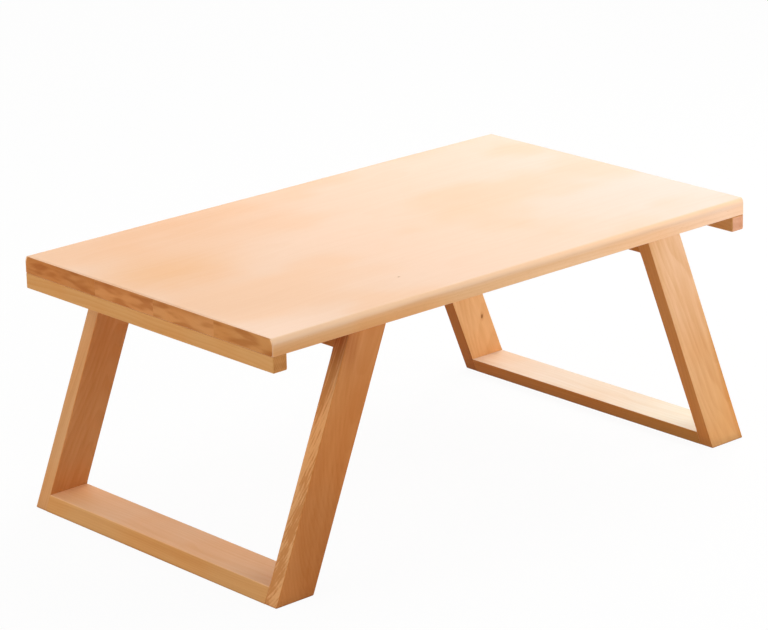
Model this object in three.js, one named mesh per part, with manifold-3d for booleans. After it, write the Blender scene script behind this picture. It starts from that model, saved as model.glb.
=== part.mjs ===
import * as THREE from "three";
import { mergeVertices } from "three/addons/utils/BufferGeometryUtils.js";
import Module from "manifold-3d";

// A low tea table in solid wood: an edge-glued top with rounded long edges and a batten
// under each end, carried by two closed leg frames that splay out towards the floor.
// Millimetres. +X runs along the top, +Y from front to back, +Z up. The origin is on the
// floor, under the middle of the top.

// Tabletop
const tableHeight = 290;
const topLength = 700;
const topWidth = 412;
const topThickness = 19.5;
const staveJointShares = [0.224, 0.463, 0.702]; // glue joints, as shares of the width from the front
const edgeRoundReach = 8; // how far the rounded long edge reaches in over the top
const edgeRoundDrop = 6; // how far it drops down the edge
const underArris = 1.5;
const endArris = 1.2;
const cornerArris = 1.5;

// End battens
const battenWidth = 18.5;
const battenHeight = 17.2;
const battenArris = 1;

// Leg frames
const splayDegrees = 22; // lean of both frames from upright
const footOverhang = 5.5; // how far the feet reach out past the ends of the top
const frameInset = 1.75; // front and back faces of a frame, in from the long edges of the top
const boardWidth = 47.5; // width of every frame board, square to its length
const legThickness = 18.5;
const bottomRailThickness = 17.5;
const topRailThickness = 17;
const boardArris = 1;

// Glue joints and seats between flat faces
const glueLine = 0.1;

// Dowels, two in each joint between a leg and a rail
const dowelDiameter = 8;
const dowelLength = 30;
const dowelInLeg = 11;
const dowelSpacing = 24;
const dowelChamfer = 1;
const dowelClearance = 0.2; // all round, in its hole
const dowelHoleSpare = 1; // glue space past each end

// Frame bolts, washers and the threaded inserts that they screw into
const boltPlaceShares = [-0.34, 0, 0.34]; // shares of the frame's depth, from its middle
const boltDiameter = 6;
const boltLength = 30;
const boltHeadDiameter = 10.5;
const boltHeadHeight = 3.3;
const boltHeadRim = 1; // straight rim under the dome of the head
const domeShares = [0.25, 0.5, 0.75]; // steps of the dome's quarter circle
const socketAcrossCorners = 4.6;
const socketDepth = 2;
const washerDiameter = 12;
const washerThickness = 1.6;
const boltClearance = 0.2; // all round, in the washer and the insert
const boltHoleClearance = 0.4; // all round, in the rail
const insertDiameter = 10;
const insertLength = 12;
const insertChamfer = 0.8;
const insertClearance = 0.2;
const insertHoleSpare = 1.5;

// Countersunk screws that hold the battens
const screwPlaceShares = [-0.41, -0.14, 0.14, 0.41]; // shares of the batten's length
const screwDiameter = 4;
const screwLength = 30;
const screwHeadDiameter = 8;
const screwHeadHeight = 2.4;
const screwTipLength = 4;
const screwClearance = 0.2;
const screwHoleSpare = 1;
const recessLength = 4.2;
const recessWidth = 0.9;
const recessDepth = 1.6;

// Finish of the curves, and the overrun of every cut past the face that it opens
const roundSides = 16;
const edgeSegments = 3;
const arrisSegments = 2;
const overrun = 5;

// Levels and places that follow from these
const underside = tableHeight - topThickness;
const frameTop = underside - glueLine;
const splay = THREE.MathUtils.degToRad(splayDegrees);
const footReach = topLength / 2 + footOverhang; // outer face of a frame at the floor
const frameDepth = topWidth - 2 * frameInset; // front face to back face of a frame
const boardSpan = boardWidth / Math.cos(splay); // a leaning board measured level, along X
const jointPlane = frameDepth / 2 - legThickness; // inner face of each leg
const sides = [
  { name: "left", sign: -1 },
  { name: "right", sign: 1 },
];
const ends = [
  { name: "front", sign: -1 },
  { name: "back", sign: 1 },
];
const bottomRail = { name: "bottom", low: 0, high: bottomRailThickness };
const topRail = { name: "top", low: frameTop - topRailThickness, high: frameTop };
const rails = [bottomRail, topRail];

const wasm = await Module();
wasm.setup();

// Solids: a closed geometry becomes one for a cut, and goes back to a geometry
function solidOf(geometry) {
  const bare = geometry.clone();
  bare.deleteAttribute("normal");
  bare.deleteAttribute("uv");
  const merged = mergeVertices(bare);
  return new wasm.Manifold(
    new wasm.Mesh({
      numProp: 3,
      vertProperties: merged.attributes.position.array,
      triVerts: new Uint32Array(merged.index.array),
    }),
  );
}

function geometryOf(solid) {
  const { vertProperties, triVerts } = solid.getMesh();
  const indexed = new THREE.BufferGeometry();
  indexed.setAttribute("position", new THREE.BufferAttribute(vertProperties, 3));
  indexed.setIndex(new THREE.BufferAttribute(triVerts, 1));
  const faceted = indexed.toNonIndexed();
  faceted.computeVertexNormals();
  return faceted;
}

function cutAway(geometry, cutters) {
  const left = cutters.reduce((solid, cutter) => solid.subtract(solidOf(cutter)), solidOf(geometry));
  return geometryOf(left);
}

// Extrusions of an outline along each axis of the table
function alongLength(outline, from, to, curveSegments) {
  const bar = new THREE.ExtrudeGeometry(outline, { depth: to - from, bevelEnabled: false, curveSegments });
  bar.rotateX(Math.PI / 2);
  bar.rotateZ(Math.PI / 2);
  return bar.translate(from, 0, 0);
}

function alongDepth(outline, from, to, arris = 0) {
  const bar = new THREE.ExtrudeGeometry(outline, {
    depth: to - from - 2 * arris,
    bevelEnabled: arris > 0,
    bevelThickness: arris,
    bevelSize: arris,
    bevelOffset: -arris,
    bevelSegments: arrisSegments,
    curveSegments: arrisSegments,
  });
  bar.rotateX(Math.PI / 2);
  return bar.translate(0, to - arris, 0);
}

function upward(outline, from, to) {
  const bar = new THREE.ExtrudeGeometry(outline, {
    depth: to - from,
    bevelEnabled: false,
    curveSegments: arrisSegments,
  });
  return bar.translate(0, 0, from);
}

// A rectangle with its corners eased by a quarter circle
function easedRectangle(left, right, low, high, arris) {
  const outline = new THREE.Shape();
  outline.absarc(right - arris, low + arris, arris, -Math.PI / 2, 0);
  outline.absarc(right - arris, high - arris, arris, 0, Math.PI / 2);
  outline.absarc(left + arris, high - arris, arris, Math.PI / 2, Math.PI);
  outline.absarc(left + arris, low + arris, arris, Math.PI, 1.5 * Math.PI);
  return outline;
}

// Pins and bores about Z: a profile of radius and height, turned round the axis
function turned(profile) {
  const points = profile.map(([radius, height]) => new THREE.Vector2(radius, height));
  return new THREE.LatheGeometry(points, roundSides).rotateX(Math.PI / 2);
}

function pinUp(radius, low, high) {
  return turned([
    [0, low],
    [radius, low],
    [radius, high],
    [0, high],
  ]);
}

// Tabletop: one blank with its edges worked, bored from below, then parted into staves
function topBlank() {
  const halfLength = topLength / 2;
  const halfWidth = topWidth / 2;
  const roundStart = tableHeight - edgeRoundDrop;
  const section = new THREE.Shape();
  section.absarc(halfWidth - underArris, underside + underArris, underArris, -Math.PI / 2, 0);
  section.absellipse(halfWidth - edgeRoundReach, roundStart, edgeRoundReach, edgeRoundDrop, 0, Math.PI / 2);
  section.absellipse(
    edgeRoundReach - halfWidth,
    roundStart,
    edgeRoundReach,
    edgeRoundDrop,
    Math.PI / 2,
    Math.PI,
  );
  section.absarc(underArris - halfWidth, underside + underArris, underArris, Math.PI, 1.5 * Math.PI);
  const profiled = solidOf(alongLength(section, -halfLength, halfLength, edgeSegments));
  const sideView = easedRectangle(-halfLength, halfLength, underside, tableHeight, endArris);
  const plan = easedRectangle(-halfLength, halfLength, -halfWidth, halfWidth, cornerArris);
  const easedEnds = solidOf(alongDepth(sideView, -halfWidth - overrun, halfWidth + overrun));
  const easedCorners = solidOf(upward(plan, underside - overrun, tableHeight + overrun));
  return profiled.intersect(easedEnds).intersect(easedCorners);
}

function staves(bores) {
  const names = ["front_stave", "front_middle_stave", "back_middle_stave", "back_stave"];
  const halfWidth = topWidth / 2;
  const joints = staveJointShares.map((share) => share * topWidth - halfWidth);
  const starts = [-halfWidth - overrun, ...joints.map((joint) => joint + glueLine / 2)];
  const stops = [...joints.map((joint) => joint - glueLine / 2), halfWidth + overrun];
  const blank = bores.reduce((solid, bore) => solid.subtract(solidOf(bore)), topBlank());
  return names.map((name, index) => {
    const width = stops[index] - starts[index];
    const slab = new THREE.BoxGeometry(topLength + overrun, width, tableHeight + overrun);
    slab.translate(0, starts[index] + width / 2, tableHeight / 2);
    return [name, geometryOf(blank.intersect(solidOf(slab)))];
  });
}

// End battens, screwed up into the top
const screwPlaces = sides.flatMap(({ name, sign }) =>
  screwPlaceShares.map((share, index) => ({
    name: `${name}_batten_screw_${index + 1}`,
    side: name,
    x: sign * (topLength / 2 - battenWidth / 2),
    y: share * topWidth,
  })),
);
const battenLow = underside - glueLine - battenHeight;

function screwProfile(grow, spare) {
  const shank = screwDiameter / 2 + grow;
  const head = screwHeadDiameter / 2 + grow;
  return [
    [0, 0],
    [head, 0],
    [shank, screwHeadHeight],
    [shank, screwLength - screwTipLength + spare],
    [0, screwLength + spare],
  ];
}

function battenScrew() {
  const recess = [0, Math.PI / 2].map((turn) =>
    new THREE.BoxGeometry(recessLength, recessWidth, 2 * recessDepth).rotateZ(turn),
  );
  return cutAway(turned(screwProfile(0, 0)), recess);
}

function screwBore({ x, y }) {
  const mouth = pinUp(screwHeadDiameter / 2 + screwClearance, -overrun, 0);
  const bore = solidOf(turned(screwProfile(screwClearance, screwHoleSpare))).add(solidOf(mouth));
  return geometryOf(bore).translate(x, y, battenLow);
}

function batten({ name, sign }) {
  const outer = (sign * topLength) / 2;
  const inner = outer - sign * battenWidth;
  const left = Math.min(outer, inner);
  const right = Math.max(outer, inner);
  const section = easedRectangle(left, right, battenLow, underside - glueLine, battenArris);
  const bar = alongDepth(section, -topWidth / 2, topWidth / 2);
  return cutAway(bar, screwPlaces.filter((place) => place.side === name).map(screwBore));
}

// Leg frames. A frame leans with its outer face footReach out at the floor, so a level slice
// of any of its boards runs from outerFace(z) inwards by boardSpan.
function outerFace(z) {
  return footReach - z * Math.tan(splay);
}

function leaningOutline(sign, low, high) {
  return new THREE.Shape([
    new THREE.Vector2(sign * (outerFace(low) - boardSpan), low),
    new THREE.Vector2(sign * outerFace(low), low),
    new THREE.Vector2(sign * outerFace(high), high),
    new THREE.Vector2(sign * (outerFace(high) - boardSpan), high),
  ]);
}

// The same outline with each corner taken off by a chamfer, measured along both edges
function easedOutline(outline, arris) {
  const corners = outline.getPoints();
  const eased = corners.flatMap((corner, index) => {
    const before = corners[(index + corners.length - 1) % corners.length];
    const after = corners[(index + 1) % corners.length];
    return [before, after].map((next) => {
      const along = next.clone().sub(corner).setLength(arris);
      return corner.clone().add(along);
    });
  });
  return new THREE.Shape(eased);
}

function railMiddle(sign, { low, high }) {
  const z = (low + high) / 2;
  return { x: sign * (outerFace(z) - boardSpan / 2), z };
}

const dowelPlaces = sides.flatMap((side) =>
  rails.flatMap((rail) =>
    ends.flatMap((end) =>
      [-1, 1].map((place, index) => {
        const { x, z } = railMiddle(side.sign, rail);
        return {
          name: `${side.name}_${end.name}_${rail.name}_dowel_${index + 1}`,
          side: side.name,
          end,
          rail: rail.name,
          x: x + (place * dowelSpacing) / 2,
          z,
        };
      }),
    ),
  ),
);

// A dowel reaches dowelInLeg past the joint into the leg, and the rest of it is in the rail
function dowelPin({ end, x, z }, grow, spare) {
  const outerEnd = jointPlane + dowelInLeg + spare;
  const innerEnd = jointPlane + dowelInLeg - dowelLength - spare;
  const radius = dowelDiameter / 2 + grow;
  const points = [
    [0, innerEnd],
    [radius - dowelChamfer, innerEnd],
    [radius, innerEnd + dowelChamfer],
    [radius, outerEnd - dowelChamfer],
    [radius - dowelChamfer, outerEnd],
    [0, outerEnd],
  ];
  const pin = turned(points).rotateX(-Math.PI / 2);
  return (end.sign > 0 ? pin : pin.rotateZ(Math.PI)).translate(x, 0, z);
}

function dowelBores(wanted) {
  return dowelPlaces.filter(wanted).map((place) => dowelPin(place, dowelClearance, dowelHoleSpare));
}

function leg(side, end) {
  const faces = [jointPlane, frameDepth / 2].map((y) => end.sign * y);
  const outline = leaningOutline(side.sign, 0, frameTop);
  const board = alongDepth(outline, Math.min(...faces), Math.max(...faces), boardArris);
  return cutAway(
    board,
    dowelBores((place) => place.side === side.name && place.end === end),
  );
}

function railBoard(side, rail, bores) {
  const outline = easedOutline(leaningOutline(side.sign, rail.low, rail.high), boardArris);
  const reach = jointPlane - glueLine;
  const board = alongDepth(outline, -reach, reach);
  const dowels = dowelBores((place) => place.side === side.name && place.rail === rail.name);
  return cutAway(board, [...dowels, ...bores]);
}

// Bolts come up through the top rail, each with a washer, into an insert in the top
const boltPlaces = sides.flatMap(({ name, sign }) =>
  boltPlaceShares.map((share, index) => ({
    side: name,
    number: index + 1,
    x: railMiddle(sign, topRail).x,
    y: share * frameDepth,
  })),
);
const washerTop = topRail.low - glueLine;
const headSeat = washerTop - washerThickness - glueLine;
const insertMouth = underside + glueLine;

function bolt() {
  const radius = boltDiameter / 2;
  const head = boltHeadDiameter / 2;
  const domeHeight = boltHeadHeight - boltHeadRim;
  const dome = domeShares.map((share) => {
    const angle = (share * Math.PI) / 2;
    return [head * Math.sin(angle), -boltHeadRim - domeHeight * Math.cos(angle)];
  });
  const body = turned([
    [0, -boltHeadHeight],
    ...dome,
    [head, -boltHeadRim],
    [head, 0],
    [radius, 0],
    [radius, boltLength],
    [0, boltLength],
  ]);
  const socket = new THREE.CylinderGeometry(
    socketAcrossCorners / 2,
    socketAcrossCorners / 2,
    2 * socketDepth,
    6,
  );
  socket.rotateX(Math.PI / 2).translate(0, 0, -boltHeadHeight);
  return cutAway(body, [socket]).translate(0, 0, headSeat);
}

function ring(inner, outer, low, high, chamfer = 0) {
  return turned([
    [inner, low],
    [outer, low],
    [outer, high - chamfer],
    [outer - chamfer, high],
    [inner, high],
    [inner, low],
  ]);
}

function washer() {
  const bore = boltDiameter / 2 + boltClearance;
  return ring(bore, washerDiameter / 2, washerTop - washerThickness, washerTop);
}

function insert() {
  const bore = boltDiameter / 2 + boltClearance;
  return ring(bore, insertDiameter / 2, insertMouth, insertMouth + insertLength, insertChamfer);
}

function railBore({ x, y }) {
  const radius = boltDiameter / 2 + boltHoleClearance;
  return pinUp(radius, topRail.low - overrun, frameTop + overrun).translate(x, y, 0);
}

function insertBore({ x, y }) {
  const radius = insertDiameter / 2 + insertClearance;
  const depth = Math.max(insertLength, headSeat + boltLength - insertMouth) + insertHoleSpare;
  return pinUp(radius, underside - overrun, insertMouth + depth).translate(x, y, 0);
}

// Colours of the finished pieces
function finish(color, roughness, metalness = 0) {
  return new THREE.MeshStandardMaterial({ color, roughness, metalness });
}
const topWood = finish(0xf0cba0, 0.45);
const backWood = finish(0xe3b184, 0.45);
const battenWood = finish(0xcf9d64, 0.5);
const legWood = finish(0xc98f5a, 0.5);
const railWood = finish(0xd8a876, 0.5);
const dowelWood = finish(0xdcb98a, 0.7);
const boltSteel = finish(0x8f9194, 0.35, 1);
const insertBrass = finish(0xb08d4a, 0.4, 1);

const table = new THREE.Group();

function add(group, name, geometry, material) {
  const piece = new THREE.Mesh(geometry, material);
  piece.name = name;
  group.add(piece);
}

const top = new THREE.Group();
const topBores = [...boltPlaces.map(insertBore), ...screwPlaces.map(screwBore)];
for (const [name, geometry] of staves(topBores)) {
  add(top, name, geometry, name === "back_stave" ? backWood : topWood);
}
for (const side of sides) {
  add(top, `${side.name}_batten`, batten(side), battenWood);
}
for (const { name, x, y } of screwPlaces) {
  add(top, name, battenScrew().translate(x, y, battenLow), boltSteel);
}
for (const { side, number, x, y } of boltPlaces) {
  add(top, `${side}_insert_${number}`, insert().translate(x, y, 0), insertBrass);
}
table.add(top);

for (const side of sides) {
  const frame = new THREE.Group();
  const ofThisSide = (place) => place.side === side.name;
  for (const end of ends) {
    add(frame, `${side.name}_${end.name}_leg`, leg(side, end), legWood);
  }
  const boltHoles = boltPlaces.filter(ofThisSide).map(railBore);
  add(frame, `${side.name}_bottom_rail`, railBoard(side, bottomRail, []), railWood);
  add(frame, `${side.name}_top_rail`, railBoard(side, topRail, boltHoles), railWood);
  for (const place of dowelPlaces.filter(ofThisSide)) {
    add(frame, place.name, dowelPin(place, 0, 0), dowelWood);
  }
  for (const { number, x, y } of boltPlaces.filter(ofThisSide)) {
    add(frame, `${side.name}_bolt_${number}`, bolt().translate(x, y, 0), boltSteel);
    add(frame, `${side.name}_washer_${number}`, washer().translate(x, y, 0), boltSteel);
  }
  table.add(frame);
}

export default table;
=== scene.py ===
"""A low tea table in solid wood, dressed around its packed frame.

Every board is drawn again as an eased, sanded surface over its CAD solid, with the real bores
in it, and so is every dowel, bolt, washer, insert and screw. Metres, +X along the top, +Y from
front to back, +Z up, with the origin on the floor under the middle of the top.
"""

from dataclasses import dataclass, replace
from itertools import product
from math import cos, pi, radians, sin, tan

import bpy
import numpy as np
from bpy.props import FloatProperty, FloatVectorProperty, IntProperty, PointerProperty
from mathutils import Matrix, Vector


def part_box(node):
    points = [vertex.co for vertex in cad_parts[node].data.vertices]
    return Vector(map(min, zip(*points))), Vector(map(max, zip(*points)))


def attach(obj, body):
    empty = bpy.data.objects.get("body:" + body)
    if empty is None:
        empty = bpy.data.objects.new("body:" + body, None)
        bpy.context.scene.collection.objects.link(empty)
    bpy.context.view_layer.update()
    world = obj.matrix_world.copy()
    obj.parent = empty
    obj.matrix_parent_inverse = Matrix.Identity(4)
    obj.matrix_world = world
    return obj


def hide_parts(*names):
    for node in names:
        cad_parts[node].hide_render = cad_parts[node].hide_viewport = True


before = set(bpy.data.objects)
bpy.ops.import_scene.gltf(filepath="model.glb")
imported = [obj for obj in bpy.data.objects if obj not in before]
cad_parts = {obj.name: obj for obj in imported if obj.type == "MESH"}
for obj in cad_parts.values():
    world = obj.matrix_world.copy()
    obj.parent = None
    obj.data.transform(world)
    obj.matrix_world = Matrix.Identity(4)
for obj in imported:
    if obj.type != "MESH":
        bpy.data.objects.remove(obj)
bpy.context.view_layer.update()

bl_info = {
    "name": "Low tea table",
    "version": (1, 0, 0),
    "blender": (4, 5, 0),
    "location": "3D View > Sidebar > Tea Table",
    "description": "Draws the boards, joints and fasteners of a low tea table, and its stage",
    "category": "Add Mesh",
}

MM = 0.001
BODY = "root"
SIDES = ("left", "right")
ENDS = ("front", "back")
RAILS = ("bottom", "top")
STAVES = ("front_stave", "front_middle_stave", "back_middle_stave", "back_stave")

# Share of a plain varnish's shine
WOOD_GLOSS = 0.06
# How far a flat stays flat beside an easing, and the angle from which an edge is sharp
HOLD = 0.4 * MM
SHARP = radians(32)


# Settings


def length(name, description, millimetres):
    """A length in metres, whose default is given in millimetres."""
    default = millimetres * MM
    return FloatProperty(
        name=name, description=description, default=default, min=0, precision=5, unit="LENGTH"
    )


def tilt(name, description, degrees, least=-180, most=180):
    """An angle, whose default and limits are given in degrees."""
    low, default, high = (radians(angle) for angle in (least, degrees, most))
    return FloatProperty(
        name=name, description=description, default=default, min=low, max=high, subtype="ANGLE"
    )


def amount(name, description, default, most=1.0, unit="NONE"):
    """A plain number or a quantity between nothing and most."""
    return FloatProperty(
        name=name, description=description, default=default, min=0, max=most, unit=unit
    )


def watts(name, description, power):
    """The power of a light."""
    return amount(name + " light", description, power, 500, "POWER")


def colour(name, description, *default):
    """A base colour, in linear red, green and blue."""
    return FloatVectorProperty(
        name=name, description=description, default=default, min=0, max=1, size=3, subtype="COLOR"
    )


class TopSettings(bpy.types.PropertyGroup):
    """Sizes of the tabletop's edges and of the battens under its ends"""

    round_reach: length("Round-over reach", "How far a long edge is rounded in over the top", 3.5)
    round_drop: length("Round-over drop", "How far a long edge is rounded down its face", 7)
    under_arris: length("Under arris", "Easing of the long edges underneath", 0.8)
    end_arris: length("End arris", "Easing all round the two sawn ends", 0.7)
    corner_arris: length("Corner arris", "Easing of the four upright corners", 1.5)
    glue_line: length("Glue line", "Gap left between two staves", 0.02)
    batten_arris: length("Batten arris", "Easing along the battens", 1.2)
    batten_seat: length("Batten seat", "What is left of that easing against the top", 0.3)
    batten_end_arris: length("Batten end arris", "Easing round a batten's sawn ends", 1.3)


class FrameSettings(bpy.types.PropertyGroup):
    """Sizes of the two leg frames"""

    splay: tilt("Splay", "Lean of both frames from upright", 22, 0, 40)
    arris: length("Arris", "Easing along every board", 1.0)
    joint_arris: length("Joint arris", "What is left of the easing where a rail meets a leg", 0.12)
    joint_run: length("Joint run", "Length over which the easing dies out at a joint", 5)
    foot_arris: length("Foot arris", "Easing round the foot of a leg", 1.4)


class FastenerSettings(bpy.types.PropertyGroup):
    """Sizes of the dowels, bolts, inserts and screws"""

    dowel_chamfer: length("Dowel chamfer", "Chamfer at both ends of a dowel", 1)
    flute_depth: length("Flute depth", "Depth of the glue flutes along a dowel", 0.25)
    flutes: IntProperty(name="Flutes", description="Glue flutes round a dowel", default=14, min=3)
    clearance: length("Clearance", "Room round a dowel, insert or screw in its hole", 0.2)
    spare: length("Spare depth", "Room past the end of a dowel, insert or screw", 1)
    bolt_clearance: length("Bolt clearance", "Room round a bolt in the rail", 0.4)
    bolt_diameter: length("Bolt diameter", "Outer diameter of the bolt's thread", 6)
    bolt_pitch: length("Bolt pitch", "Pitch of the bolt's thread", 1)
    head_height: length("Head height", "Height of a bolt's domed head", 3.3)
    head_rim: length("Head rim", "Straight rim under the dome", 1)
    socket_width: length("Socket width", "Socket in a bolt's head, across its corners", 4.6)
    socket_depth: length("Socket depth", "Depth of the socket in a bolt's head", 2)
    insert_pitch: length("Insert pitch", "Pitch of the coarse thread outside an insert", 2.4)
    screw_diameter: length("Screw diameter", "Outer diameter of a screw's thread", 4)
    screw_pitch: length("Screw pitch", "Pitch of a screw's thread", 1.8)
    screw_head: length("Screw head height", "Height of a screw's countersunk head", 2.4)
    screw_tip: length("Screw tip", "Length of a screw's point", 4)
    recess_length: length("Recess length", "Length of each arm pair of the cross recess", 4.2)
    recess_width: length("Recess width", "Width of each arm of the cross recess", 0.9)
    recess_depth: length("Recess depth", "Depth of the cross recess", 1.6)


class WoodSettings(bpy.types.PropertyGroup):
    """Colours of the woods and metals"""

    top: colour("Top", "Pale wood of the tabletop", 0.84, 0.605, 0.455)
    # The long edges' deeper colour beside the top's is partly painted shade of faces that turn from
    # the light
    top_edge: colour("Top edges", "Wood of the long edges of the tabletop", 0.84, 0.51, 0.27)
    batten: colour("Batten", "Yellow brown wood of the battens", 0.64, 0.323, 0.113)
    # The frames' colours are partly painted light and shade: the left frame's wide faces and the
    # right frame's narrow faces are darker, and the left frame's narrow faces and the right frame's
    # wide faces paler, as the light fell on them
    left: colour("Left frame", "Red brown wide faces of the left leg frame", 0.62, 0.25, 0.077)
    left_edge: colour("Left edges", "Tan narrow faces of the left leg frame", 0.67, 0.34, 0.128)
    right: colour("Right frame", "Light wide faces of the right leg frame", 0.73, 0.42, 0.21)
    right_edge: colour("Right edges", "Brown narrow faces of the right frame", 0.55, 0.21, 0.046)
    dowel: colour("Dowel", "Plain wood of the dowels", 0.62, 0.42, 0.22)
    steel: colour("Steel", "Zinc-plated steel of the bolts, washers and screws", 0.60, 0.61, 0.60)
    brass: colour("Brass", "Brass of the threaded inserts", 0.72, 0.50, 0.20)


class StageSettings(bpy.types.PropertyGroup):
    """Camera, lights and floor"""

    azimuth: tilt("Azimuth", "Where the camera stands: 0 looks along +Y", -41.985)
    elevation: tilt("Elevation", "How far the camera looks down", 18.031)
    roll: tilt("Roll", "Tilt of the camera about its own axis", -1.283)
    distance: length("Distance", "From the camera to the point that it aims at", 3845)
    lens: amount("Lens", "Focal length on a 36 mm sensor", 155.99, 500, "CAMERA")
    key: watts("Key", "Soft light at the front right", 11.5)
    low: watts("Low", "Soft light low at the front right", 2.1)
    right: watts("Right", "Soft light high on the right", 20)
    left: watts("Left", "Soft light on the left", 15)
    back: watts("Back", "Large light at the back right", 17.5)
    ambient: amount("Ambient", "Light that comes evenly from all round", 0.42, 5)
    warmth: colour("Warmth", "Tint of the light from all round", 1.0, 0.96, 0.90)
    floor: colour("Floor", "Pale floor", 0.84, 0.84, 0.84)
    shadow: amount("Shadow", "How much of the object's shadow shows on the floor", 0.05)


# Surfaces


def eased_outline(corners, reaches, steps, hold):
    """Points round a closed outline whose corners are eased, at m stations at once.

    A corner C, with unit directions d to the corner before it and e to the one after it and
    reaches a and b along them, becomes C + a d (1 - sin t) + b e (1 - cos t) as t goes from 0
    to 90 degrees. That is a quarter of an ellipse that meets both edges without a kink. One
    more point lies `hold` beyond each end of it and keeps the flats flat. A corner whose
    reaches are all nothing stays one point.
    corners is (k, 2), anticlockwise, and reaches is (m, k, 2). Gives the points (m, n, 2), the
    corner that each belongs to (n,) and its share of the easing (n,), 1 at a curve's middle.
    """
    before = np.roll(corners, 1, axis=0) - corners
    after = np.roll(corners, -1, axis=0) - corners
    before /= np.linalg.norm(before, axis=1, keepdims=True)
    after /= np.linalg.norm(after, axis=1, keepdims=True)
    angle = np.linspace(0, pi / 2, steps + 1)
    blocks, owners, easing = [], [], []
    for k, corner in enumerate(corners):
        a = reaches[:, k, 0, None]
        b = reaches[:, k, 1, None]
        if not reaches[:, k].any():
            blocks.append(np.broadcast_to(corner, (len(reaches), 1, 2)))
            owners.append(np.full(1, k))
            easing.append(np.zeros(1))
            continue
        along_before = np.hstack([a + hold, a * (1 - np.sin(angle)), 0 * a])
        along_after = np.hstack([0 * b, b * (1 - np.cos(angle)), b + hold])
        curve = along_before[..., None] * before[k] + along_after[..., None] * after[k]
        blocks.append(corner + curve)
        owners.append(np.full(steps + 3, k))
        easing.append(np.concatenate([[0], np.sin(2 * angle), [0]]))
    return np.concatenate(blocks, axis=1), np.concatenate(owners), np.concatenate(easing)


def mitres(corners, shares):
    """How each corner of an outline moves when edge j, from corner j to j + 1, moves in by
    shares[j]: the vector whose product with both edges' outward normals is minus their share."""
    edge = np.roll(corners, -1, axis=0) - corners
    normal = np.stack([edge[:, 1], -edge[:, 0]], axis=1)
    normal /= np.linalg.norm(normal, axis=1, keepdims=True)
    pairs = np.stack([np.roll(normal, 1, axis=0), normal], axis=1)
    inward = -np.stack([np.roll(shares, 1), shares], axis=1)
    return np.linalg.solve(pairs, inward[..., None])[..., 0]


def stations(low, high, reach_low, reach_high, steps, spacing, hold=HOLD):
    """Places along a board, how far its outline is drawn in at each, and the easing there.

    An end eased by a quarter circle of radius r has, at angle t from 0 to 90 degrees, a
    station r (1 - cos t) in from the end with the outline drawn in by r (1 - sin t). A last
    outline, drawn in a little more, keeps the end face flat.
    """
    angle = np.linspace(0, pi / 2, steps + 1)

    def end(reach):
        places = np.concatenate([[0], reach * (1 - np.cos(angle)), [reach + hold]])
        insets = np.concatenate([[reach + hold], reach * (1 - np.sin(angle)), [0]])
        easing = np.concatenate([[0], np.sin(2 * angle) * (reach > 0), [0]])
        if reach > 0:
            return places, insets, easing
        return places[[0, 1, -1]], insets[[0, -1, -1]], easing[[0, 1, -1]]

    first, last = end(reach_low), end(reach_high)
    start, stop = low + first[0][-1], high - last[0][-1]
    count = max(2, int(round((stop - start) / spacing)) + 1)
    middle = np.linspace(start, stop, count)[1:-1]
    places = np.concatenate([low + first[0], middle, high - last[0][::-1]])
    insets = np.concatenate([first[1], 0 * middle, last[1][::-1]])
    easing = np.concatenate([first[2], 0 * middle, last[2][::-1]])
    return places, insets, easing


def sanded(places, seed, depth=0.14):
    """A factor on an arris that was sanded by hand: 1 plus three slow waves along the board."""
    waves = ((0.31, 1.0), (0.117, 0.7), (0.043, 0.45))
    total = sum(size * np.sin(2 * pi * places / wave + 2.4 * seed + wave) for wave, size in waves)
    return 1 + depth * total / sum(size for _, size in waves)


def carried(corners, reaches, along, place, shares=None, steps=6, hold=HOLD, end_highlight=1):
    """A board: an eased outline carried along stations, with a flat face over each end.

    Point (s, i) is place(outline i at station s, moved in by that station's inset, s). along
    is what stations() gives. place takes both coordinates of the outline and the station.
    Gives the points, the faces, and how much each point belongs to an arris, which the wood's
    painted highlight reads, times end_highlight round the ends and nothing within an end face.
    """
    places, insets, end_easing = along
    corners = np.asarray(corners, float)
    reaches = np.broadcast_to(reaches, (len(places), len(corners), 2))
    shares = np.ones(len(corners)) if shares is None else np.asarray(shares, float)
    outline, owners, side_easing = eased_outline(corners, reaches, steps, hold)
    outline = outline + insets[:, None, None] * mitres(corners, shares)[owners]
    parts = place(outline[..., 0], outline[..., 1], places[:, None])
    points = np.stack(np.broadcast_arrays(*parts), axis=-1)
    rings, around = outline.shape[:2]
    easing = np.maximum(side_easing[None, :], end_highlight * end_easing[:, None])
    easing[[0, -1]] = 0
    return points.reshape(-1, 3), lattice(rings, around), easing.ravel()


def lattice(rings, around, closed=False):
    """Faces of a grid of rings, each joined to the next: the quad between rings s and s + 1 and
    points i and i + 1. The first and last ring are closed by one face each, or by each other."""
    index = np.arange(rings * around).reshape(rings, around)
    lower = index if closed else index[:-1]
    upper = np.roll(index, -1, axis=0) if closed else index[1:]
    quads = np.stack(
        [lower, np.roll(lower, -1, axis=1), np.roll(upper, -1, axis=1), upper], axis=-1
    )
    faces = quads.reshape(-1, 4).tolist()
    if not closed:
        faces.append(index[0, ::-1].tolist())
        faces.append(index[-1].tolist())
    return faces


def turned(radius, height, around, centre, axis="Z", closed=False):
    """A turned shape: point (i, j) lies at radius r_i, angle 360 j / around and height h_i
    about the axis. radius is (n,), or (n, around) for flutes and threads. A closed profile
    wraps round on itself, as a ring's does, and any other has a flat face over each end."""
    radius = np.asarray(radius, float)
    if radius.ndim == 1:
        radius = np.repeat(radius[:, None], around, axis=1)
    height = np.broadcast_to(np.asarray(height, float)[:, None], radius.shape)
    angle = 2 * pi * np.arange(around) / around
    u, v = radius * np.cos(angle), radius * np.sin(angle)
    x, y, z = {"Z": (u, v, height), "Y": (v, height, u)}[axis]
    points = np.stack([x, y, z], axis=-1).reshape(-1, 3) + np.asarray(centre, float)
    return points, lattice(*radius.shape, closed=closed)


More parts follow.
